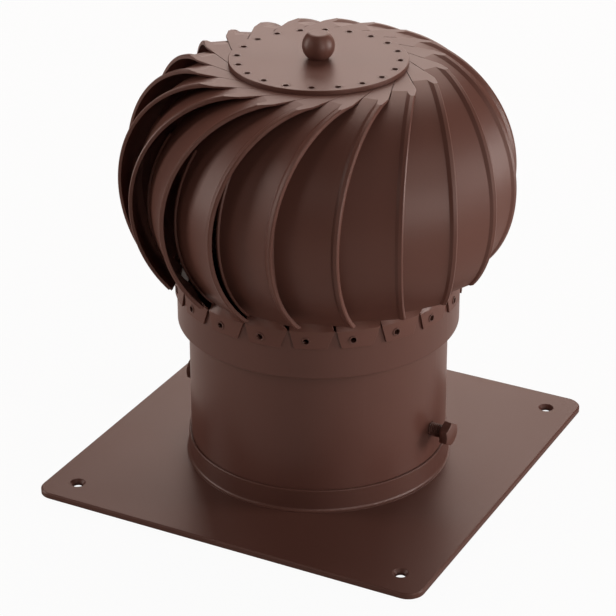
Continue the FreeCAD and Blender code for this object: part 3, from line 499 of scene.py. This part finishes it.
@dataclass(frozen=True)
class ScrewThread:
    """A rolled screw thread and the rod that carries it."""

    major_d: float
    pitch: float
    steps: int = 40
    root_share: float = 0.25
    crest_share: float = 0.125
    flank_deg: float = 30.0
    tip_bevel: float = 0.0008
    spare_turns: int = 3
    run_in_turns: float = 1.5

    def rod(self, length: float) -> Shell:
        """Wind the thread on a closed rod that stands on Z, with a bevelled tip at the bottom.

        Args:
            length: how long the rod is.

        Returns:
            The rod's shell.
        """
        flank = self.pitch * (1.0 - self.root_share - self.crest_share) / 2
        crest_r = self.major_d / 2
        root_r = crest_r - flank / math.tan(math.radians(self.flank_deg))
        turns = math.ceil(length / self.pitch) + self.spare_turns
        low = -self.run_in_turns * self.pitch
        root_end = low + self.root_share * self.pitch
        crest_end = root_end + flank + self.crest_share * self.pitch
        outline = [
            (root_r, low), (root_r, root_end), (crest_r, root_end + flank), (crest_r, crest_end),
            (root_r, low + self.pitch)]
        shell = Shell()
        corners = [shell.mesh.verts.new((radius, 0.0, height)) for radius, height in outline]
        edges = [shell.mesh.edges.new(pair) for pair in zip(corners, corners[1:])]
        bmesh.ops.spin(
            shell.mesh, geom=corners + edges, cent=(0.0, 0.0, 0.0), axis=UP,
            dvec=(0.0, 0.0, self.pitch / self.steps), angle=2 * math.pi * turns,
            steps=self.steps * turns, use_merge=False, use_duplicate=False)
        bmesh.ops.remove_doubles(shell.mesh, verts=shell.mesh.verts, dist=MERGE)
        shell.cut(Vector((0.0, 0.0, 0.0)), UP)
        shell.cut(Vector((0.0, 0.0, length)), DOWN)
        self._bevel_tip(shell, crest_r)
        bmesh.ops.recalc_face_normals(shell.mesh, faces=shell.mesh.faces)
        return shell

    def _bevel_tip(self, shell: Shell, crest_r: float) -> None:
        """Draw the rod's lower end in to a cone.

        Args:
            shell: the rod.
            crest_r: the rod's full radius.
        """
        for corner in shell.mesh.verts:
            limit = crest_r - self.tip_bevel + corner.co.z
            radius = math.hypot(corner.co.x, corner.co.y)
            if radius > limit:
                corner.co.x *= limit / radius
                corner.co.y *= limit / radius


@dataclass(frozen=True)
class ClampBolts:
    """The bolts that lock the pipe on its socket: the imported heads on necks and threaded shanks."""

    node: str = "clamp_bolts"
    thread: ScrewThread = ScrewThread(major_d=0.0080, pitch=0.00125)
    azimuths_deg: tuple[float, float] = (-3.5, 182.0)
    head_low_r: tuple[float, float] = (0.0865, 0.0822)
    shank_length: float = 0.02065
    height: float = 0.037
    neck_d: float = 0.0068
    neck_length: float = 0.0018
    bite: float = 0.0004
    neck_steps: int = 40

    def build(self, wardrobe: Wardrobe) -> bpy.types.Object:
        """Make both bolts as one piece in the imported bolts' place.

        Args:
            wardrobe: the finishes.

        Returns:
            The piece.
        """
        shell = Shell()
        for azimuth, head_low in zip(self.azimuths_deg, self.head_low_r):
            shell.add(self._head(azimuth, head_low))
            shell.add(self._shank(azimuth, head_low))
        piece = shell.finish("threaded_clamp_bolts")
        wardrobe.wear(piece, Look.FASTENER_BROWN)
        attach(piece, Body.BASE.value)
        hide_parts(self.node)
        return piece

    def _head(self, azimuth_deg: float, head_low: float) -> Shell:
        """Cut one bolt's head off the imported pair.

        Args:
            azimuth_deg: where the bolt points.
            head_low: how far from the axis its head starts.

        Returns:
            The closed head.
        """
        turn = math.radians(azimuth_deg)
        outward = Vector((math.cos(turn), math.sin(turn), 0.0))
        head = Shell()
        head.copy_node(self.node)
        head.cut(outward * (head_low - self.bite), outward)
        return head

    def _shank(self, azimuth_deg: float, head_low: float) -> Shell:
        """Make one bolt's threaded shank and its plain neck under the head.

        Args:
            azimuth_deg: where the bolt points.
            head_low: how far from the axis its head starts.

        Returns:
            The shank in its place.
        """
        shank = self.thread.rod(self.shank_length - self.neck_length)
        neck = bmesh.ops.create_cone(
            shank.mesh, cap_ends=True, segments=self.neck_steps, radius1=self.neck_d / 2,
            radius2=self.neck_d / 2, depth=self.neck_length + 2 * self.bite)
        middle = self.shank_length - self.neck_length / 2
        bmesh.ops.translate(shank.mesh, verts=neck["verts"], vec=(0.0, 0.0, middle))
        level = Matrix.Rotation(math.pi / 2, 4, "Y")
        aim = Matrix.Rotation(math.radians(azimuth_deg), 4, "Z") @ level
        shank.move(lifted(self.height) @ aim @ lifted(head_low - self.shank_length))
        return shank


@dataclass(frozen=True)
class SpiderShaft:
    """The fixed shaft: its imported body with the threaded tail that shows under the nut."""

    node: str = "shaft"
    nut: str = "tail_nut"
    thread: ScrewThread = ScrewThread(major_d=0.0100, pitch=0.0015)
    thread_in_nut: float = 0.0040

    def build(self, wardrobe: Wardrobe) -> bpy.types.Object:
        """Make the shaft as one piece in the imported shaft's place.

        Args:
            wardrobe: the finishes.

        Returns:
            The piece.
        """
        tail_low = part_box(self.node)[0][2]
        nut_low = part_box(self.nut)[0][2]
        body = Shell()
        body.copy_node(self.node)
        body.cut(Vector((0.0, 0.0, nut_low + self.thread_in_nut / 2)), UP)
        tail = self.thread.rod(nut_low + self.thread_in_nut - tail_low)
        tail.move(lifted(tail_low))
        body.add(tail)
        piece = body.finish("threaded_shaft")
        wardrobe.wear(piece, Look.STEEL)
        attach(piece, Body.BASE.value)
        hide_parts(self.node)
        return piece


@dataclass(frozen=True)
class Viewpoint:
    """The camera that takes the photograph's view."""

    place: Triple = (0.581716, -1.129059, 0.735971)
    azimuth_deg: float = 27.2585
    elevation_deg: float = 25.2121
    frame_px: float = 616.0
    focal_px: float = 2382.257
    centre_px: tuple[float, float] = (318.495, 245.644)
    sensor_mm: float = 36.0
    far_m: float = 20.0

    def axes(self) -> tuple[Vector, Vector, Vector]:
        """Work out the camera's own directions.

        Returns:
            Its right, up and backward directions.
        """
        turn = math.radians(self.azimuth_deg)
        back = self.towards(0.0, self.elevation_deg)
        right = Vector((math.cos(turn), math.sin(turn), 0.0))
        return right, back.cross(right), back

    def towards(self, azimuth_deg: float, elevation_deg: float) -> Vector:
        """Work out a direction from the object, told from the camera's side of it.

        Args:
            azimuth_deg: degrees round to the camera's right from the camera itself.
            elevation_deg: degrees above level.

        Returns:
            The unit direction.
        """
        turn = math.radians(self.azimuth_deg + azimuth_deg)
        lift = math.radians(elevation_deg)
        level = math.cos(lift)
        return Vector((math.sin(turn) * level, -math.cos(turn) * level, math.sin(lift)))

    def build(self) -> bpy.types.Object:
        """Make the camera and give it to the scene.

        Returns:
            The camera's object.
        """
        data = bpy.data.cameras.new("photo_camera")
        data.sensor_fit = "HORIZONTAL"
        data.sensor_width = self.sensor_mm
        data.lens = self.focal_px / self.frame_px * self.sensor_mm
        half = self.frame_px / 2
        data.shift_x = (half - self.centre_px[0]) / self.frame_px
        data.shift_y = (self.centre_px[1] - half) / self.frame_px
        data.clip_end = self.far_m
        camera = bpy.data.objects.new("photo_camera", data)
        right, up, back = self.axes()
        camera.matrix_world = Matrix.LocRotScale(
            Vector(self.place), Matrix((right, up, back)).transposed().to_quaternion(), None)
        bpy.context.scene.collection.objects.link(camera)
        bpy.context.scene.camera = camera
        return camera


PLAIN_WHITE: Colour = (1.0, 1.0, 1.0)
WARM_WHITE: Colour = (1.0, 0.92, 0.88)
WARM_BACK: Colour = (1.0, 0.83, 0.76)


@dataclass(frozen=True)
class Softbox:
    """A large soft lamp, placed by where it stands as seen from the camera."""

    name: str
    azimuth_deg: float
    elevation_deg: float
    width: float
    height: float
    watts: float
    colour: Colour = WARM_WHITE
    distance: float = 1.8
    aim: Triple = (0.0, 0.0, 0.15)

    def build(self, view: Viewpoint) -> bpy.types.Object:
        """Hang the lamp.

        Args:
            view: the camera that the lamp's place is told from.

        Returns:
            The lamp's object.
        """
        data = bpy.data.lights.new(self.name, "AREA")
        data.shape = "RECTANGLE"
        data.size = self.width
        data.size_y = self.height
        data.energy = self.watts
        data.color = self.colour
        lamp = bpy.data.objects.new(self.name, data)
        out = view.towards(self.azimuth_deg, self.elevation_deg)
        lamp.location = Vector(self.aim) + out * self.distance
        lamp.rotation_euler = out.to_track_quat("Z", "Y").to_euler()
        bpy.context.scene.collection.objects.link(lamp)
        return lamp


@dataclass(frozen=True)
class Studio:
    """Pale floor, white surround and soft lamps."""

    view: Viewpoint
    floor_half: float = 6.0
    floor_drop: float = 0.0005
    floor_colour: Colour = (0.62, 0.58, 0.56)
    floor_white: float = 0.95
    mirrored_share: float = 0.10
    mirrored_colour: Colour = (1.0, 0.80, 0.72)
    flue_r: float = 0.080
    lamps: tuple[Softbox, ...] = (
        Softbox("right_box", azimuth_deg=83.0, elevation_deg=8.0,
                width=0.6, height=1.0, watts=25.0, colour=PLAIN_WHITE),
        Softbox("front_box", azimuth_deg=32.0, elevation_deg=8.0,
                width=0.5, height=1.0, watts=9.0, colour=PLAIN_WHITE),
        Softbox("front_high_box", azimuth_deg=30.0, elevation_deg=42.0,
                width=0.8, height=0.8, watts=3.6),
        Softbox("left_box", azimuth_deg=-97.0, elevation_deg=14.0,
                width=0.5, height=1.2, watts=14.0),
        Softbox("left_front_box", azimuth_deg=-58.0, elevation_deg=24.0,
                width=0.5, height=0.9, watts=2.4),
        Softbox("back_box", azimuth_deg=168.0, elevation_deg=20.0,
                width=1.6, height=0.9, watts=13.0, colour=WARM_BACK),
        Softbox("back_high_box", azimuth_deg=172.0, elevation_deg=56.0,
                width=1.3, height=1.0, watts=13.5, colour=WARM_BACK),
    )

    def build(self) -> None:
        """Set the room up."""
        bpy.context.scene.view_settings.view_transform = "Standard"
        self._surround()
        self._floor()
        for lamp in self.lamps:
            lamp.build(self.view)
            LOG.info("hung %s", lamp.name)

    def _light_seen(self, tree: ShaderTree) -> tuple[Value, Value]:
        """Find how bright and how warm each kind of ray sees the surround.

        Args:
            tree: the tree to work in.

        Returns:
            The light, which is one for the camera, a share of it for a mirror or a glass and
            nothing for the rest, and its colour, which is white for the camera.
        """
        path = tree.node("ShaderNodeLightPath", {}, {})
        direct = path["Is Camera Ray"]
        mirrored = path["Is Glossy Ray"] + path["Is Transmission Ray"]
        seen = tree.node("ShaderNodeClamp", {}, {
            "Value": direct + mirrored * self.mirrored_share})["Result"]
        hue = tree.node("ShaderNodeMix", {"data_type": "RGBA"}, {
            "Factor": direct, "A": shade(self.mirrored_colour), "B": shade(PLAIN_WHITE)})["Result"]
        return seen, hue

    def _surround(self) -> None:
        """Make the world white to look at, and leave the lighting to the lamps."""
        world = bpy.data.worlds.new("studio_room")
        bpy.context.scene.world = world
        tree = ShaderTree(world)
        seen, hue = self._light_seen(tree)
        light = tree.node("ShaderNodeBackground", {}, {
            "Color": hue, "Strength": seen})["Background"]
        tree.node("ShaderNodeOutputWorld", {}, {"Surface": light})

    def _floor(self) -> None:
        """Lay a pale floor that looks white, keeps a faint shadow and is dark inside the flue."""
        shell = Shell()
        bmesh.ops.create_grid(shell.mesh, x_segments=1, y_segments=1, size=self.floor_half)
        shell.move(lifted(CAD_BOX[0][2] - self.floor_drop))
        floor = shell.finish("studio_floor")
        made = bpy.data.materials.new("floor_paper")
        tree = ShaderTree(made)
        place = tree.node("ShaderNodeTexCoord", {}, {})["Object"]
        reach = tree.node("ShaderNodeVectorMath", {"operation": "LENGTH"}, {0: place})["Value"]
        outside = reach > self.flue_r
        seen, hue = self._light_seen(tree)
        paper = tree.node("ShaderNodeBsdfDiffuse", {}, {"Color": shade(self.floor_colour)})["BSDF"]
        glow = tree.node("ShaderNodeEmission", {}, {"Color": hue, "Strength": 1.0})["Emission"]
        white = seen * outside * self.floor_white
        both = tree.node("ShaderNodeMixShader", {}, {0: white, 1: paper, 2: glow})["Shader"]
        tree.node("ShaderNodeOutputMaterial", {}, {"Surface": both})
        floor.data.materials.append(made)


def main() -> None:
    """Dress the cowl, set up the studio and take the photograph's view."""
    logging.basicConfig(level=logging.INFO, format="%(name)s: %(message)s")
    view = Viewpoint()
    view.build()
    wardrobe = Wardrobe()
    wardrobe.dress_frame()
    for part in (ClampBolts(), SpiderShaft()):
        piece = part.build(wardrobe)
        LOG.info("built %s in place of %s", piece.name, part.node)
    Studio(view).build()


if __name__ == "__main__":
    main()
